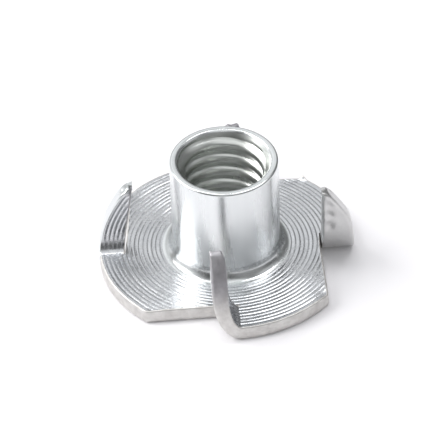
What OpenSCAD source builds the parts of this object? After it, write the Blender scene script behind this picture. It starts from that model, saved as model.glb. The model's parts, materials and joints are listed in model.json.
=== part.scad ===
// Four-prong tee nut, pressed from one piece of sheet steel.
// The barrel is drawn up out of a round blank. Four segments of the blank's edge are
// slit along a chord and folded up beside the slit, which leaves a pronged flange.
// The origin is the centre of the flange's underside, with +Z up along the barrel.

/* [Flange] */
// Diameter of the flange, which is the round blank's
flange_d = 22.2; // [20:0.1:30]
// Thickness of the sheet
sheet_t = 1.35; // [1:0.05:1.8]

/* [Barrel] */
// Outside diameter of the barrel
barrel_d = 9.35; // [8.6:0.05:12]
// Height of the barrel's rim above the flange's upper face
barrel_h = 9.4; // [7:0.1:14]
// Diameter of the bore, at the crests of the thread
bore_d = 6.6; // [5.5:0.05:7.8]
// Diameter of the countersink where it meets the rim
mouth_d = 8.2; // [7:0.05:9]
// Depth of the countersink
mouth_depth = 0.55; // [0.2:0.05:1.2]
// Radius of the rim's outer edge
rim_r = 0.2; // [0.05:0.01:0.5]
// Radius of the fillet between the barrel and the flange
foot_r = 0.75; // [0.3:0.05:1.2]
// Radius of the draw, where the underside turns up into the bore
draw_r = 1.2; // [0.4:0.05:2]

/* [Prongs] */
// How many prongs stand around the flange
prong_n = 4; // [3:1:4]
// Distance from the barrel's axis to the slit beside each prong
slit_at = 8.15; // [7.5:0.05:9.2]
// Width of the slit between a prong and the flange
slit_w = 0.06; // [0.04:0.01:0.3]
// How far the inside of the fold runs across; the fold is tight at the flange and eases upwards
fold_across = 1.07; // [0.9:0.01:1.3]
// How far the inside of the fold runs up
fold_up = 3.1; // [2:0.1:3.6]
// How far the fold starts behind the radius through the middle of the slit
fold_back = 0.45; // [0.1:0.05:0.8]
// Share of the thickness, from the inside of the fold, at which the sheet keeps its length
fold_neutral = 0.28; // [0.25:0.01:0.5]
// Height that is sheared off each prong's point
point_cut = 0.45; // [0.1:0.05:0.8]

/* [Hidden] */
$fn = 96;

flange_r = flange_d / 2;
barrel_r = barrel_d / 2;
bore_r = bore_d / 2;
mouth_r = mouth_d / 2;
rim_z = sheet_t + barrel_h;

// A prong's side along the slit, and its flat length from the slit's middle to its point
prong_side = slit_at + slit_w;
prong_length = sqrt(flange_r * flange_r - prong_side * prong_side);

// Centre of the fold, and the reach of its outside
fold_x = -fold_back;
fold_z = sheet_t + fold_up;
fold_out = [fold_across + sheet_t, fold_up + sheet_t];

// Length of the fold's neutral layer, a quarter of an ellipse by Ramanujan's rule, and the
// height of the blank's centre once the prong is folded, so that this layer keeps its length
layer_x = fold_across + fold_neutral * sheet_t;
layer_z = fold_up + fold_neutral * sheet_t;
fold_length = PI / 4 * (3 * (layer_x + layer_z) - sqrt((3 * layer_x + layer_z) * (layer_x + 3 * layer_z)));
blank_z = fold_z + fold_back - fold_length;
point_z = blank_z + prong_length - point_cut;

// Reach of the cutting shapes past what they cut
over = 1;

// Quarter round at the origin, between the two axes and an arc that curves in towards their corner
module cove(r) {
    difference() {
        square(r);
        translate([r, r]) circle(r = r);
    }
}

// Half section of the barrel, drawn up from the flange with a fillet at its foot
module barrel_section() {
    difference() {
        square([barrel_r, rim_z]);
        translate([barrel_r, rim_z]) rotate(180) cove(rim_r);
    }
    translate([barrel_r, sheet_t]) cove(foot_r);
}

// Half section of the hole through the barrel: drawn radius, bore and countersink
module hole_section() {
    translate([0, -over]) square([bore_r, rim_z + 2 * over]);
    translate([bore_r, 0]) cove(draw_r);
    polygon([
        [0, rim_z - mouth_depth],
        [bore_r, rim_z - mouth_depth],
        [mouth_r, rim_z],
        [mouth_r, rim_z + over],
        [0, rim_z + over]
    ]);
}

// The drawn blank before the prongs are slit
module drawn_blank() {
    rotate_extrude() difference() {
        union() {
            square([flange_r, sheet_t]);
            barrel_section();
        }
        hole_section();
    }
}

// What a prong takes out of the flange: all that lies past the slit, from the start of the fold
module slit_segment() {
    translate([-fold_back, slit_at, -over])
        cube([flange_d, flange_d, sheet_t + 2 * over]);
}

// Section of a prong, seen along the radius to the slit's middle: the fold, which is a quarter of
// an ellipse, and the upright sheet above it
module prong_section() {
    translate([fold_x, fold_z]) {
        intersection() {
            difference() {
                scale(fold_out) circle(r = 1);
                scale([fold_across, fold_up]) circle(r = 1);
            }
            translate([0, -fold_out.y]) square(fold_out);
        }
        translate([fold_across, 0]) square([sheet_t, flange_d]);
    }
}

// The blank's round outline, stood on edge in the prong's own plane
module upright_outline() {
    translate([-flange_r, 0, blank_z])
        rotate([0, 90, 0])
            cylinder(r = flange_r, h = flange_d);
}

// One folded prong on the +Y side, inside the blank's outline both lying and standing, with its
// point sheared off
module prong() {
    intersection() {
        translate([0, flange_d, 0])
            rotate([90, 0, 0])
                linear_extrude(height = flange_d - prong_side) prong_section();
        upright_outline();
        translate([0, 0, -over]) cylinder(r = flange_r, h = point_z + over);
    }
}

// The whole nut: the drawn blank, slit and folded up at each prong
module tee_nut() {
    color("lightsteelblue") {
        difference() {
            drawn_blank();
            for (i = [0 : prong_n - 1])
                rotate(i * 360 / prong_n) slit_segment();
        }
        for (i = [0 : prong_n - 1])
            rotate(i * 360 / prong_n) prong();
    }
}

tee_nut();
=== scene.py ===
"""The looks of a pronged tee nut: pressed, threaded and bright-plated sheet steel on a white table."""
import json
from bisect import bisect_left
from math import acos, asin, atan2, cos, degrees, exp, hypot, pi, radians, sin, sqrt, tan

import bpy
import bmesh
from mathutils import Matrix, Vector, noise


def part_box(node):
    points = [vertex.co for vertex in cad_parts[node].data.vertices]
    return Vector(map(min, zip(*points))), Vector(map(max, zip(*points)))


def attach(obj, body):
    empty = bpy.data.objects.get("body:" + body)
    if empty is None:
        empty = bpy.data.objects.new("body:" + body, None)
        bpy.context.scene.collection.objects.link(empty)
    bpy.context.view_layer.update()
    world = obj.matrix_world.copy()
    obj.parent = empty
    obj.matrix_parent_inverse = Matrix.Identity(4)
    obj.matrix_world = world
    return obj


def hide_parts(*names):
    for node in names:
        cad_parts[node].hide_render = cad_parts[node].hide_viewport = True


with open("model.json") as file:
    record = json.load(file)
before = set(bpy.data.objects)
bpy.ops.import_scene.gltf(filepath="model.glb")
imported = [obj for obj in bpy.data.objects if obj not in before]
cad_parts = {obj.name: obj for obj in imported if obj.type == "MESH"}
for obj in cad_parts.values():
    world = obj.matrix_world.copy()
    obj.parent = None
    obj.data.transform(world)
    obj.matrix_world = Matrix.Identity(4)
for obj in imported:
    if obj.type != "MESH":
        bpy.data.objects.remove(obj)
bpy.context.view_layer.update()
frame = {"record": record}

# Millimetres in a metre: the nut is worked out in millimetres and placed in metres
MM = 1000

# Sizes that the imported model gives
mounts = {mount["name"]: mount for mount in frame["record"]["mounts"]}
low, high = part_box("tee_nut")
FLANGE_R = (high[0] - low[0]) / 2 * MM
RIM_Z = high[2] * MM
SHEET_T = mounts["seat"]["pos_m"][2] * MM
BARREL_R = mounts["barrel"]["dims"]["r_mm"]
BORE_R = mounts["thread"]["dims"]["r_mm"]

# Sizes of the pressing, as in the solid
MOUTH_R = 4.1
RIM_R = 0.2
DRAW_R = 1.2
PRONGS = 4
SLIT_AT = 8.15
SLIT_W = 0.06
FOLD_ACROSS = 1.07
FOLD_UP = 3.1
FOLD_BACK = 0.45
FOLD_NEUTRAL = 0.28
POINT_CUT = 0.45

# Depth of the countersink, which is deeper than in the solid and runs through the thread's first turn
MOUTH_DEPTH = 1.05

# The fillet at the barrel's foot as turning left it: its radius, and the angle that was turned away
FLARE_R = 1.45
FLARE_CUT = 38

# The right-hand thread: its pitch, its radius at the roots, and the share of a turn by which it is turned
PITCH = 25.4 / 18
ROOT_R = 3.95
THREAD_PHASE = 0.31

# How softly the thread runs out into the countersink and the draw, and how far below the countersink
MOUTH_BLEND = 0.12
DRAW_BLEND = 0.05
BLEND_BELOW = 0.2

# The turned rings on the upper face: where they start, their spacing and their depth
RING_FROM = 5.5
RING_PITCH = 0.375
RING_DEPTH = 0.04

# How deep a ring is on average, how much that varies, and how quickly, round it and from ring to ring
RING_MEAN = 0.95
RING_VARIES = 0.3
RING_ROUND = 2.2
RING_APART = 5.7

# How much the rings are flattened in the folds, where along the prong, and how far from there
FLATTENED = 0.7
FLATTENED_AT = 0.1
FLATTENED_REACH = 0.5

# What follows from the sizes of the pressing
PRONG_SIDE = SLIT_AT + SLIT_W
POINT_S = sqrt(FLANGE_R ** 2 - PRONG_SIDE ** 2) - POINT_CUT
CORNER_S = sqrt(FLANGE_R ** 2 - SLIT_AT ** 2)
FOLD_Z = SHEET_T + FOLD_UP
FLARE_Z = SHEET_T + FLARE_R * cos(radians(FLARE_CUT))
SECTOR = 2 * pi / PRONGS
THREAD_TOP = RIM_Z - MOUTH_DEPTH * (MOUTH_R - ROOT_R) / (MOUTH_R - BORE_R)
DRAW_TURN = acos((BORE_R + DRAW_R - ROOT_R) / DRAW_R)
THREAD_END = DRAW_R - DRAW_R * sin(DRAW_TURN)

# Angles within one sector, clockwise from the radius through the middle of its slit
SLIT_END = atan2(-FOLD_BACK, SLIT_AT)
FOLD_PAST = radians(13.5)
POINT_OUTER = asin(POINT_S / FLANGE_R)
POINT_INNER = atan2(POINT_S, PRONG_SIDE)
CORNER = acos(SLIT_AT / FLANGE_R)

# Angles between columns: round the fold, along the prong, just past the corner, and along the flange
FOLD_STEP = radians(0.7)
PRONG_STEP = radians(1.4)
CORNER_STEP = radians(0.5)
FLANGE_STEP = radians(1.5)

# What each prong's point has lost, at the back, right, front and left
TIP_LOSS = (0.3, 0.15, 0.15, 0.45)

# How far down a prong that loss reaches, and how ragged it is along the prong and across the sheet
TIP_REACH = 1.4
RAGGED_ALONG = 0.9
RAGGED_ACROSS = 0.25

# How much fuller each prong is, at the back, right, front and left
FULLER = (0, 0.1, 0, 0)

# Where along the prong it is fullest, and how far from there
FULLEST_AT = 3.8
FULLER_REACH = 1.3

# Slopes at which each slit runs outwards towards its fold, and each prong leans towards the barrel
SLIT_SLOPE = (0, 0, 0, 0.1)
PRONG_LEAN = (0, 0, 0, 0.055)

# A slit's edges are rolled less at its end: the share there, and the run over which it grows to the whole
SLIT_END_SHARE = 0.2
SLIT_END_RUN = 1.5

# Share of the roll that a prong's side along the slit has; it grows to the whole at the point
SIDE_SHARE = 0.4

# Height of the burr on the corner of each slit, at the back, right, front and left, and its reach
BURR = (0.45, 0, 0.1, 0.1)
BURR_REACH = 0.28

# How far shearing drew the upper face down at a slit's corner, and how far from there
FLANGE_DROP = 0.1
FLANGE_DROP_REACH = 0.9
PRONG_DROP = 0.45
PRONG_DROP_REACH = 1.1

# Dents in the smooth face of the right prong: place along and across the prong, depth and reach
DENTED = 1
DENTS = [(5.6, 8.7, 0.12, 0.3), (4.5, 8.75, 0.18, 0.3), (3.3, 8.75, 0.16, 0.35), (4.2, 9.7, 0.05, 0.4)]

# Sections of a column of points, in the order in which they go round the sheet's cross-section
UNDER, EDGE, TOP, FOOT, BARREL, RIM, THREAD, DRAW, END = range(9)

# A prong's side along the slit comes after its upper face, as the barrel does on the flange
SIDE = BARREL

# Rows up a sheared edge, from the underside: how far each is drawn in, and its share of the thickness
EDGE_ROWS = [
    (0.37, 0), (0.3, 0), (0.15, 0.02), (0.05, 0.08), (0.01, 0.16), (0, 0.26), (0, 0.46),
    (0.03, 0.54), (0.03, 0.74), (0.03, 0.91), (0.05, 0.965), (0.12, 1), (0.18, 1)
]

# The rows that are torn, how deeply, and how finely, round the nut and up the edge
TORN_ROWS = (7, 8, 9)
TORN_DEPTH = 0.02
TORN_ROUND = 60
TORN_UP = 3

# One ring, from crest to crest: share of the spacing, and share of the depth
RING_TURN = [(0, 0), (0.22, 0), (0.32, 0.15), (0.53, 0.85), (0.61, 1), (0.69, 0.85), (0.9, 0.15)]

# One turn of the thread, from root to root: share of the pitch, and share of the depth that is filled
THREAD_TURN = [
    (0, 0), (0.06, 0.08), (0.14, 0.42), (0.22, 0.7), (0.31, 0.88), (0.41, 0.98),
    (0.5, 1), (0.59, 0.98), (0.69, 0.88), (0.78, 0.7), (0.86, 0.42), (0.94, 0.08)
]

# Turns of the thread that are tried past each end of the bore
SPARE_TURNS = 2

# A row on the rim's flat, and rows over the countersink's broken edge: outwards of its mouth, and down
RIM_FLAT_R = 4.4
MOUTH_EDGE = [(0.06, 0), (0.012, 0.02)]
MOUTH_EDGE_DEPTH = 0.06

# Steps round the arcs of the foot, the rim and the draw, and between the rows of the plain barrel
FOOT_STEPS = 9
RIM_STEPS = 4
DRAW_STEPS = 7
BARREL_STEP = 0.7

# Steps in which the length of the fold is added up
FOLD_PATH_STEPS = 400

# Least distance between the points of two sections, and between the plain barrel and its arcs
CLEAR = 0.03
BARREL_CLEAR = 0.02

# Points nearer than this are welded, faces thinner than this are dissolved, and sharper edges are marked
WELD = 0.001
FLAT = 0.0005
SHARP = radians(50)

# Materials of the skin, and which of them the flange's sections wear
TURNED, FACED, DRAWN, DULL, SHEARED, THREADED = range(6)
FLANGE_WEAR = {
    UNDER: DULL, EDGE: SHEARED, TOP: TURNED, FOOT: FACED,
    BARREL: DRAWN, RIM: FACED, THREAD: THREADED, DRAW: DULL
}

# What the prongs wear; their round edges and their sides are given at the back, right, front and left
PRONG_WEAR = {UNDER: DULL, TOP: TURNED}
PRONG_EDGES = (SHEARED, DULL, SHEARED, FACED)
PRONG_SIDES = (SHEARED, DULL, SHEARED, SHEARED)


def spread(first, last, step):
    """Evenly spaced values from first up to, but not including, last, about step apart."""
    count = max(1, round(abs(last - first) / step))
    return [first + (last - first) * i / count for i in range(count)]


def arc(centre_r, centre_z, radius, start, stop, count):
    """Points round an arc in a half-section, both ends included, with angles in degrees."""
    turns = [radians(start + (stop - start) * i / count) for i in range(count + 1)]
    return [(centre_r + radius * cos(a), centre_z + radius * sin(a)) for a in turns]


def soft_max(a, b, reach):
    """The larger of two values, with the corner between them rounded over the given reach."""
    share = max(0, min(1, 0.5 + (a - b) / (2 * reach)))
    return b + (a - b) * share + reach * share * (1 - share)


# Radii of the points on the upper face, each with its ring and its share of the ring's depth
TOP_RINGS = [
    (RING_FROM + (ring + share) * RING_PITCH, ring, depth)
    for ring in range(round((FLANGE_R - RING_FROM) / RING_PITCH) + 1)
    for share, depth in RING_TURN
    if ring + share > 0
]

# Radii of the points on the underside, closer together past the slits
UNDER_FROM = BORE_R + DRAW_R + 0.3
UNDER_TO = FLANGE_R - 0.2
UNDER_STEP = 0.45
UNDER_FINE_STEP = 0.2
UNDER_RINGS = spread(UNDER_FROM, SLIT_AT, UNDER_STEP) + spread(SLIT_AT, UNDER_TO, UNDER_FINE_STEP)

# Column angles of one sector: close together round the fold, and one at each corner
ANGLES = (
    spread(SLIT_END, FOLD_PAST, FOLD_STEP)
    + spread(FOLD_PAST, POINT_OUTER, PRONG_STEP)
    + [POINT_OUTER, POINT_INNER, (POINT_INNER + CORNER) / 2, CORNER]
    + spread(CORNER + CORNER_STEP, SLIT_END + SECTOR, FLANGE_STEP)
)


def ring_depth(ring, share, turn):
    """Depth of a turned ring, uneven from ring to ring and along each one."""
    place = Vector((RING_ROUND * cos(turn), RING_ROUND * sin(turn), RING_APART * ring))
    uneven = RING_MEAN + RING_VARIES * noise.noise(place)
    return RING_DEPTH * uneven * share


def slit_reach(sector, angle, side, inset):
    """Radius at an angle of one edge of the slit, rolled outwards by inset.

    Side is the edge's distance from the axis at the prong's point, about which a sloping slit turns."""
    slope = SLIT_SLOPE[sector]
    run = SLIT_AT * tan(angle) + FOLD_BACK
    share = min(1, SLIT_END_SHARE + (1 - SLIT_END_SHARE) * run / SLIT_END_RUN)
    return (side + inset * share + slope * POINT_S) / (cos(angle) + slope * sin(angle))


def flange_reach(sector, angle, inset):
    """Radius of the flange's edge, or of its slit, drawn in by inset."""
    return min(FLANGE_R - inset, slit_reach(sector, angle, SLIT_AT, -inset))


def prong_reach(sector, angle, inset):
    """Inner and outer radius of the prong's outline in the flat, drawn in by inset."""
    share = SIDE_SHARE + (1 - SIDE_SHARE) * max(0, angle / POINT_OUTER) ** 2
    near = slit_reach(sector, angle, PRONG_SIDE, share * inset)
    far = FLANGE_R - inset
    widest = FLANGE_R
    if angle > 0:
        far = min(far, (POINT_S - inset) / sin(angle))
        widest = min(widest, POINT_S / sin(angle))
    if near >= far:
        near = far = (slit_reach(sector, angle, PRONG_SIDE, 0) + widest) / 2
    return near, far


def near_corner(s, y, depth, reach):
    """How far shearing moved the upper face near the corner of the slit."""
    return depth * exp(-(hypot(s - CORNER_S, y - SLIT_AT) / reach) ** 2)


def worn_point(sector, s, y, h):
    """Where a point of a prong's flat sheet went as its tip was blunted and knocked about."""
    near = max(0, min(1, (s - POINT_S + TIP_REACH) / TIP_REACH)) ** 2
    lost = TIP_LOSS[sector] * near
    ragged = noise.noise(Vector((3 * s, 3 * y, 2 * h + 9 * sector)))
    return s - lost * (1 + RAGGED_ALONG * ragged), h + RAGGED_ACROSS * lost * ragged


def dented(sector, s, y, h):
    """Height in the sheet of a point of a prong once its smooth face was dented."""
    if sector != DENTED:
        return h
    pushed = sum(
        depth * exp(-(hypot(s - dent_s, y - dent_y) / reach) ** 2)
        for dent_s, dent_y, depth, reach in DENTS
    )
    return h + pushed * (1 - h / SHEET_T)


def torn(row, turn, lift):
    """Unevenness of the torn part of a sheared edge."""
    if row not in TORN_ROWS:
        return 0
    return TORN_DEPTH * noise.noise(Vector((TORN_ROUND * cos(turn), TORN_ROUND * sin(turn), TORN_UP * lift)))


def fold_path(steps):
    """Turns round the fold, a quarter of an ellipse, and the neutral layer's length up to each."""
    wide = FOLD_ACROSS + FOLD_NEUTRAL * SHEET_T
    tall = FOLD_UP + FOLD_NEUTRAL * SHEET_T
    path = [(0, 0)]
    for i in range(1, steps + 1):
        last = path[-1][0]
        turn = i / steps * pi / 2
        step = hypot(wide * (sin(turn) - sin(last)), tall * (cos(turn) - cos(last)))
        path.append((turn, path[-1][1] + step))
    return path


FOLD_PATH = fold_path(FOLD_PATH_STEPS)


def fold(s, h):
    """Place across and above the flange of a point that lay s along the slit, at height h in the sheet."""
    run = s + FOLD_BACK
    wide = FOLD_ACROSS + SHEET_T - h
    tall = FOLD_UP + SHEET_T - h
    if run <= 0:
        return s, h
    after = bisect_left(FOLD_PATH, run, key=lambda step: step[1])
    if after == len(FOLD_PATH):
        return wide - FOLD_BACK, FOLD_Z + run - FOLD_PATH[-1][1]
    (turn, length), (next_turn, next_length) = FOLD_PATH[after - 1:after + 1]
    turn += (next_turn - turn) * (run - length) / (next_length - length)
    return wide * sin(turn) - FOLD_BACK, FOLD_Z - tall * cos(turn)


def mouth_r(z):
    """Radius of the countersink at a height."""
    return BORE_R + (z - RIM_Z + MOUTH_DEPTH) * (MOUTH_R - BORE_R) / MOUTH_DEPTH


def draw_r(z):
    """Radius of the hole where the underside turns up into it."""
    return BORE_R + DRAW_R - sqrt(DRAW_R ** 2 - (DRAW_R - z) ** 2)


def barrel_rows():
    """Half-section up the plain barrel, from the fillet at its foot to the edge of its rim."""
    start = FLARE_Z + BARREL_CLEAR
    stop = RIM_Z - RIM_R - BARREL_CLEAR
    return [(BARREL_R, z) for z in spread(start, stop, BARREL_STEP) + [stop]]


def rim_rows():
    """Half-section from the barrel's outside over its rim to the top of the thread."""
    rows = arc(BARREL_R - RIM_R, RIM_Z - RIM_R, RIM_R, 0, 90, RIM_STEPS)
    rows.append((RIM_FLAT_R, RIM_Z))
    rows += [(MOUTH_R + across, RIM_Z - down) for across, down in MOUTH_EDGE]
    rows += [(mouth_r(z), z) for z in (RIM_Z - MOUTH_EDGE_DEPTH, THREAD_TOP)]
    return rows


def thread_rows(turn):
    """Points of the thread down the wall of the bore, at one angle clockwise from +Y."""
    steps = len(THREAD_TURN)
    rows = []
    for row in range(-SPARE_TURNS * steps, round((RIM_Z / PITCH + SPARE_TURNS) * steps)):
        whole, part = divmod(row, steps)
        share, filled = THREAD_TURN[part]
        z = THREAD_TOP - PITCH * (whole + share + THREAD_PHASE + turn / (2 * pi))
        if not THREAD_END + CLEAR < z < THREAD_TOP - CLEAR:
            continue
        r = ROOT_R + (BORE_R - ROOT_R) * filled
        if z > RIM_Z - MOUTH_DEPTH - BLEND_BELOW:
            r = soft_max(r, mouth_r(z), MOUTH_BLEND)
        if z < DRAW_R:
            r = soft_max(r, draw_r(z), DRAW_BLEND)
        rows.append((row, r, z))
    return rows


# Half-sections of the barrel that are the same all round, by section
ROUND_ROWS = {
    FOOT: arc(BARREL_R + FLARE_R, FLARE_Z, FLARE_R, 270 - FLARE_CUT, 180, FOOT_STEPS),
    BARREL: barrel_rows(),
    RIM: rim_rows()
}
DRAW_ROWS = arc(BORE_R + DRAW_R, DRAW_R, DRAW_R, 180 + degrees(DRAW_TURN), 270, DRAW_STEPS)


class Skin:
    """Points and faces of the nut's surface, gathered column by column.

    A column is a list of keys and points, and a key is a section and a place in it."""

    def __init__(self):
        self.points = []
        self.blank_r = []
        self.faces = []
        self.materials = []

    def add(self, sector, x, y, z, r):
        """Adds a point in the frame of one sector, r from the axis in the blank, and returns its number."""
        self.blank_r.append(r)
        turn = -sector * SECTOR
        self.points.append((x * cos(turn) - y * sin(turn), x * sin(turn) + y * cos(turn), z))
        return len(self.points) - 1

    def face(self, corners, material):
        """Adds a face with its material."""
        self.faces.append(corners)
        self.materials.append(material)

    def radius(self, point):
        """Distance of a point from the barrel's axis."""
        return hypot(self.points[point][0], self.points[point][1])

    def flange_column(self, sector, angle):
        """A column round the flange, up the barrel and down through the bore."""
        turn = angle + sector * SECTOR
        column = []

        def put(section, place, r, z):
            column.append(((section, place), self.add(sector, r * sin(angle), r * cos(angle), z, r)))

        def put_sheet(section, place, r, h):
            drop = near_corner(r * sin(angle), r * cos(angle), FLANGE_DROP, FLANGE_DROP_REACH)
            drop -= near_corner(r * sin(angle), r * cos(angle), BURR[sector], BURR_REACH)
            put(section, place, r, h - drop * (h / SHEET_T) ** 3)

        for r in UNDER_RINGS:
            if r < flange_reach(sector, angle, EDGE_ROWS[0][0]) - CLEAR:
                put(UNDER, r, r, 0)
        for row, (inset, share) in enumerate(EDGE_ROWS):
            reach = flange_reach(sector, angle, inset + torn(row, turn, share))
            put_sheet(EDGE, row, reach, share * SHEET_T)
        for r, ring, depth in reversed(TOP_RINGS):
            if r < flange_reach(sector, angle, EDGE_ROWS[-1][0]) - CLEAR:
                put_sheet(TOP, -r, r, SHEET_T - ring_depth(ring, depth, turn))
        for section, rows in ROUND_ROWS.items():
            for row, (r, z) in enumerate(rows):
                put(section, row, r, z)
        for row, r, z in thread_rows(turn):
            put(THREAD, row, r, z)
        for row, (r, z) in enumerate(DRAW_ROWS):
            put(DRAW, row, r, z)
        return column

    def prong_column(self, sector, angle):
        """A column round a prong's cross-section, folded up."""
        turn = angle + sector * SECTOR
        column = []

        def put(section, place, r, h):
            s = r * sin(angle)
            y = r * cos(angle)
            drop = near_corner(s, y, PRONG_DROP, PRONG_DROP_REACH)
            h = dented(sector, s, y, h - drop * h / SHEET_T)
            x, z = fold(*worn_point(sector, s, y, h))
            fuller = FULLER[sector] * exp(-((s - FULLEST_AT) / FULLER_REACH) ** 2)
            y = PRONG_SIDE + (y - PRONG_SIDE) * (1 + fuller)
            y -= PRONG_LEAN[sector] * max(0, z - SHEET_T)
            column.append(((section, place), self.add(sector, x, y, z, r)))

        near, far = prong_reach(sector, angle, EDGE_ROWS[0][0])
        for r in UNDER_RINGS:
            if near + CLEAR < r < far - CLEAR:
                put(UNDER, r, r, 0)
        for row, (inset, share) in enumerate(EDGE_ROWS):
            put(EDGE, row, prong_reach(sector, angle, inset + torn(row, turn, share))[1], share * SHEET_T)
        near, far = prong_reach(sector, angle, EDGE_ROWS[-1][0])
        for r, ring, depth in reversed(TOP_RINGS):
            if near + CLEAR < r < far - CLEAR:
                flattened = 1 - FLATTENED * exp(-((r * sin(angle) - FLATTENED_AT) / FLATTENED_REACH) ** 2)
                put(TOP, -r, r, SHEET_T - flattened * ring_depth(ring, depth, turn))
        for row, (inset, share) in reversed(list(enumerate(EDGE_ROWS))):
            put(SIDE, -row, prong_reach(sector, angle, inset + torn(row, turn, share))[0], share * SHEET_T)
        return column

    def undivided(self, flange, prong):
        """The column at the end of a slit, where flange and prong are still one sheet."""
        def part(column, section):
            return [entry for entry in column if entry[0][0] == section]

        edge = [point for key, point in part(flange, EDGE)]
        side = [point for key, point in part(prong, SIDE)]
        self.face(edge[1:-1] + side[1:-1], SHEARED)
        lower = [((UNDER, self.radius(point)), point) for point in edge[:2] + side[-2:]]
        upper = [((TOP, -self.radius(point)), point) for point in side[:2] + edge[-2:]]
        return (
            part(flange, UNDER) + lower + part(prong, UNDER) + part(prong, EDGE) + part(prong, TOP) + upper
            + [entry for entry in flange if entry[0][0] >= TOP]
        )

    def stitch(self, one, two, wear):
        """Joins two neighbouring closed columns, pairing the points that have the same key."""
        one = one + [((END, 0), one[0][1])]
        two = two + [((END, 0), two[0][1])]
        i = j = 0
        while i + 1 < len(one) or j + 1 < len(two):
            next_one = one[i + 1][0] if i + 1 < len(one) else (END, 1)
            next_two = two[j + 1][0] if j + 1 < len(two) else (END, 1)
            section, place = min(next_one, next_two)
            corners = [one[i][1], two[j][1]]
            if next_two == (section, place):
                j += 1
                corners.append(two[j][1])
            if next_one == (section, place):
                i += 1
                corners.append(one[i][1])
            self.face(corners, wear.get(section, DULL))

    def mesh(self, name):
        """The finished mesh in metres, closed, with its sharp edges marked."""
        made = bpy.data.meshes.new(name)
        made.from_pydata([Vector(p) / MM for p in self.points], [], self.faces)
        made.polygons.foreach_set("material_index", self.materials)
        made.attributes.new("blank_r", "FLOAT", "POINT").data.foreach_set("value", self.blank_r)
        work = bmesh.new()
        work.from_mesh(made)
        bmesh.ops.remove_doubles(work, verts=work.verts, dist=WELD / MM)
        bmesh.ops.dissolve_degenerate(work, edges=work.edges, dist=FLAT / MM)
        bmesh.ops.recalc_face_normals(work, faces=work.faces)
        work.to_mesh(made)
        work.free()
        made.shade_smooth()
        made.set_sharp_from_angle(angle=SHARP)
        return made


def make_skin():
    """The whole nut: columns all round, with each prong's own columns beside them."""
    skin = Skin()
    first = last = None
    for sector in range(PRONGS):
        prong_wear = {**PRONG_WEAR, EDGE: PRONG_EDGES[sector], SIDE: PRONG_SIDES[sector]}
        flange = prong = None
        for angle in ANGLES:
            next_flange = skin.flange_column(sector, angle)
            next_prong = skin.prong_column(sector, angle) if angle <= POINT_INNER else None
            if flange is None:
                whole = skin.undivided(next_flange, next_prong)
                if last:
                    skin.stitch(last, whole, FLANGE_WEAR)
                else:
                    first = whole
            else:
                skin.stitch(flange, next_flange, FLANGE_WEAR)
                if next_prong:
                    skin.stitch(prong, next_prong, prong_wear)
            flange = next_flange
            prong = next_prong
        last = flange
    turned = len(THREAD_TURN)
    again = [((key[0], key[1] - turned) if key[0] == THREAD else key, point) for key, point in first]
    skin.stitch(last, again, FLANGE_WEAR)
    return skin


# Most of a noise texture's values lie between these
NOISE_LOW = 0.3
NOISE_HIGH = 0.7

# Painted shade, a darker tint for the dim reflections up the prongs, comes in from this far above the flange
# to this far above the fold
PAINTED_SHADE_ABOVE = 1.2

# Fine scratches round the axis: how many to a millimetre, and how deep
SCRATCHES = 9
SCRATCH_DEPTH = 0.012


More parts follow.
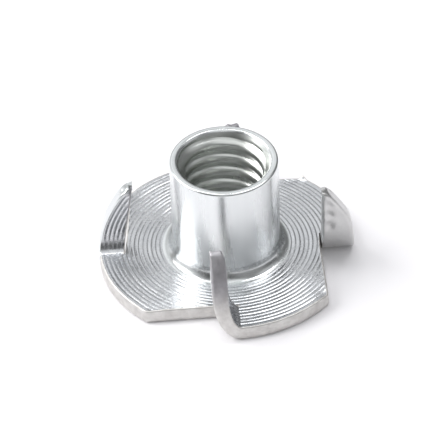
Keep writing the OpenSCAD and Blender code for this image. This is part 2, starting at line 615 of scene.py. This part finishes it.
def metal(name, colour, worn_colour, roughness, grain, bump, stretch=1, turned=False, painted_shade_aloft=None):
    """Plated steel whose colour, gloss and surface vary finely.

    Roughness is the least and the most of it. Grain is the size of the marks in mm, bump is their depth in
    mm, and stretch is how many times longer they are upwards. Turned steel has fine scratches round the
    axis as well. The aloft colour is painted shade, a darker tint that comes in up the prongs."""
    made = bpy.data.materials.new(name)
    made.use_nodes = True
    nodes = made.node_tree.nodes
    links = made.node_tree.links
    shader = nodes["Principled BSDF"]
    shader.inputs["Metallic"].default_value = 1
    place = nodes.new("ShaderNodeTexCoord")
    long = nodes.new("ShaderNodeMapping")
    long.inputs["Scale"].default_value = (1, 1, 1 / stretch)
    links.new(place.outputs["Object"], long.inputs["Vector"])

    def marks(size, detail):
        texture = nodes.new("ShaderNodeTexNoise")
        texture.inputs["Scale"].default_value = MM / size
        texture.inputs["Detail"].default_value = detail
        links.new(long.outputs["Vector"], texture.inputs["Vector"])
        return texture

    tint = nodes.new("ShaderNodeMix")
    tint.data_type = "RGBA"
    tint.inputs["A"].default_value = (*colour, 1)
    tint.inputs["B"].default_value = (*worn_colour, 1)
    links.new(marks(6 * grain, detail=4).outputs["Fac"], tint.inputs["Factor"])
    colour_out = tint.outputs["Result"]
    # Painted shade: the colour is multiplied by a darker tint that grows with height up the prongs
    if painted_shade_aloft:
        axes = nodes.new("ShaderNodeSeparateXYZ")
        links.new(place.outputs["Object"], axes.inputs["Vector"])
        height = nodes.new("ShaderNodeMapRange")
        height.interpolation_type = "SMOOTHSTEP"
        height.inputs["From Min"].default_value = (SHEET_T + PAINTED_SHADE_ABOVE) / MM
        height.inputs["From Max"].default_value = (FOLD_Z + PAINTED_SHADE_ABOVE) / MM
        links.new(axes.outputs["Z"], height.inputs["Value"])
        shade = nodes.new("ShaderNodeMix")
        shade.data_type = "RGBA"
        shade.blend_type = "MULTIPLY"
        shade.inputs["B"].default_value = (*painted_shade_aloft, 1)
        links.new(height.outputs["Result"], shade.inputs["Factor"])
        links.new(colour_out, shade.inputs["A"])
        colour_out = shade.outputs["Result"]
    links.new(colour_out, shader.inputs["Base Color"])

    gloss = nodes.new("ShaderNodeMapRange")
    gloss.inputs["From Min"].default_value = NOISE_LOW
    gloss.inputs["From Max"].default_value = NOISE_HIGH
    gloss.inputs["To Min"].default_value = roughness[0]
    gloss.inputs["To Max"].default_value = roughness[1]
    links.new(marks(2 * grain, detail=5).outputs["Fac"], gloss.inputs["Value"])
    links.new(gloss.outputs["Result"], shader.inputs["Roughness"])

    def relief(texture, depth):
        bumps = nodes.new("ShaderNodeBump")
        bumps.inputs["Distance"].default_value = depth / MM
        links.new(texture.outputs["Fac"], bumps.inputs["Height"])
        return bumps

    surface = relief(marks(grain, detail=3), bump)
    links.new(surface.outputs["Normal"], shader.inputs["Normal"])
    if turned:
        radius = nodes.new("ShaderNodeAttribute")
        radius.attribute_name = "blank_r"
        scratches = nodes.new("ShaderNodeTexNoise")
        scratches.noise_dimensions = "1D"
        scratches.inputs["Scale"].default_value = SCRATCHES
        scratches.inputs["Detail"].default_value = 3
        links.new(radius.outputs["Fac"], scratches.inputs["W"])
        links.new(relief(scratches, SCRATCH_DEPTH).outputs["Normal"], surface.inputs["Normal"])
    return made


nut = bpy.data.objects.new("tee_nut_skin", make_skin().mesh("tee_nut_skin"))
bpy.context.scene.collection.objects.link(nut)

# The skin's materials, in the order of their numbers
for kind in (
    metal("turned", (0.69, 0.7, 0.715), (0.56, 0.575, 0.6), (0.18, 0.32), 0.25, 0.004, turned=True),
    metal("faced", (0.8, 0.82, 0.825), (0.68, 0.705, 0.71), (0.18, 0.28), 0.4, 0.001),
    metal("drawn", (0.81, 0.83, 0.835), (0.73, 0.755, 0.76), (0.22, 0.34), 0.4, 0.002, stretch=12),
    metal("dull", (0.68, 0.68, 0.675), (0.54, 0.54, 0.535), (0.3, 0.42), 0.5, 0.02),
    # The sheared edges carry painted shade, a darker tint that comes in up the prongs
    metal(
        "sheared", (0.82, 0.81, 0.79), (0.47, 0.455, 0.44), (0.4, 0.6), 0.12, 0.02,
        painted_shade_aloft=(0.66, 0.66, 0.71)
    ),
    metal("threaded", (0.71, 0.73, 0.71), (0.57, 0.59, 0.57), (0.27, 0.33), 0.5, 0.0004),
):
    nut.data.materials.append(kind)
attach(nut, "root")
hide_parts("tee_nut")

# Half the table's width in metres, how far it lies below the nut in mm, and its own glow where it is seen
TABLE_HALF = 3
TABLE_BELOW = 0.01
TABLE_GLOW = 0.06


def make_floor():
    """A wide white table that keeps the nut's shadow."""
    sheet = bpy.data.meshes.new("table")
    half = TABLE_HALF
    corners = [(-half, -half, 0), (half, -half, 0), (half, half, 0), (-half, half, 0)]
    sheet.from_pydata(corners, [], [(0, 1, 2, 3)])
    table = bpy.data.objects.new("table", sheet)
    table.location.z = -TABLE_BELOW / MM
    bpy.context.scene.collection.objects.link(table)
    paint = bpy.data.materials.new("table_white")
    paint.use_nodes = True
    nodes = paint.node_tree.nodes
    links = paint.node_tree.links
    shader = nodes["Principled BSDF"]
    shader.inputs["Base Color"].default_value = (0.86, 0.85, 0.87, 1)
    shader.inputs["Roughness"].default_value = 0.9
    shader.inputs["Specular IOR Level"].default_value = 0.1
    shader.inputs["Emission Color"].default_value = (1, 1, 1, 1)
    path = nodes.new("ShaderNodeLightPath")
    seen = nodes.new("ShaderNodeMath")
    seen.operation = "ADD"
    links.new(path.outputs["Is Camera Ray"], seen.inputs[0])
    links.new(path.outputs["Is Glossy Ray"], seen.inputs[1])
    either = nodes.new("ShaderNodeMath")
    either.operation = "ADD"
    links.new(seen.outputs["Value"], either.inputs[0])
    links.new(path.outputs["Is Transmission Ray"], either.inputs[1])
    glow = nodes.new("ShaderNodeMath")
    glow.operation = "MULTIPLY"
    glow.inputs[1].default_value = TABLE_GLOW
    links.new(either.outputs["Value"], glow.inputs[0])
    links.new(glow.outputs["Value"], shader.inputs["Emission Strength"])
    sheet.materials.append(paint)
    return table


make_floor()

# Level of the room's light
ROOM_LEVEL = 0.1

# Pale patches of the room: the way to each, the cosines between which it comes up to full, and its strength
ROOM = [
    # A wide wall on the left
    ((-0.85, 0.35, 0.38), 0.45, 0.92, 0.75),
    # High behind the nut
    ((0, 0.76, 0.65), 0.92, 0.99, 0.85),
    # Low at the front right
    ((0.6, -0.75, 0.25), 0.78, 0.95, 0.2),
    # Low and faint at the back right
    ((0.7, 0.7, 0.15), 0.6, 0.9, 0.08),
    # Overhead, towards the camera's side
    ((0, -0.42, 0.91), 0.86, 0.96, 0.95),
    # High on the right
    ((0.75, -0.1, 0.65), 0.9, 0.98, 0.5)
]


def make_world():
    """A dim room with pale patches, which the bright metal mirrors."""
    world = bpy.data.worlds.new("studio")
    bpy.context.scene.world = world
    world.use_nodes = True
    nodes = world.node_tree.nodes
    links = world.node_tree.links
    place = nodes.new("ShaderNodeTexCoord")
    sky = nodes["Background"]
    sky.inputs["Color"].default_value = (0.98, 0.99, 1, 1)
    level = None
    for towards, start, stop, gain in ROOM:
        facing = nodes.new("ShaderNodeVectorMath")
        facing.operation = "DOT_PRODUCT"
        facing.inputs[1].default_value = Vector(towards).normalized()
        links.new(place.outputs["Generated"], facing.inputs[0])
        pale = nodes.new("ShaderNodeMapRange")
        pale.interpolation_type = "SMOOTHSTEP"
        pale.inputs["From Min"].default_value = start
        pale.inputs["From Max"].default_value = stop
        pale.inputs["To Min"].default_value = 0
        pale.inputs["To Max"].default_value = gain
        links.new(facing.outputs["Value"], pale.inputs["Value"])
        total = nodes.new("ShaderNodeMath")
        total.operation = "ADD"
        total.inputs[0].default_value = ROOM_LEVEL
        if level:
            links.new(level, total.inputs[0])
        links.new(pale.outputs["Result"], total.inputs[1])
        level = total.outputs["Value"]
    links.new(level, sky.inputs["Strength"])


def make_lamp(name, place, size, power, colour):
    """A square soft box that faces the nut. Place and size are in metres."""
    light = bpy.data.lights.new(name, "AREA")
    light.shape = "SQUARE"
    light.size = size
    light.energy = power
    light.color = colour
    lamp = bpy.data.objects.new(name, light)
    lamp.location = place
    lamp.rotation_euler = (-Vector(place)).to_track_quat("-Z", "Y").to_euler()
    bpy.context.scene.collection.objects.link(lamp)


make_world()
make_lamp("key", (-0.40, 0.08, 0.36), 0.34, 2.2, (1, 0.99, 0.98))
make_lamp("top left", (-0.088, 0.104, 0.533), 0.18, 0.4, (0.98, 0.99, 1))
make_lamp("top right", (0.18, 0.12, 0.51), 0.24, 0.8, (0.99, 0.99, 1))


def make_camera():
    """A long lens that looks down on the nut from a little left of its front. Distances are in mm."""
    elevation = radians(40.8)
    azimuth = radians(-3.3)
    roll = radians(1.987)
    distance = 275.4
    aside = -0.292
    above = 1.78
    turn = Matrix.Rotation(azimuth, 3, "Z")
    back = turn @ Vector((0, -cos(elevation), sin(elevation)))
    right = turn @ Vector((1, 0, 0))
    up = turn @ Vector((0, sin(elevation), cos(elevation)))
    data = bpy.data.cameras.new("camera")
    data.sensor_width = 36
    data.lens = 255.74
    data.clip_start = 0.01
    data.clip_end = 20
    camera = bpy.data.objects.new("camera", data)
    tilted_right = right * cos(roll) - up * sin(roll)
    tilted_up = right * sin(roll) + up * cos(roll)
    pose = Matrix((tilted_right, tilted_up, back)).transposed().to_4x4()
    pose.translation = (Vector((0, 0, SHEET_T)) + back * distance + right * aside + up * above) / MM
    camera.matrix_world = pose
    bpy.context.scene.collection.objects.link(camera)
    bpy.context.scene.camera = camera


make_camera()
bpy.context.scene.view_settings.view_transform = "Standard"
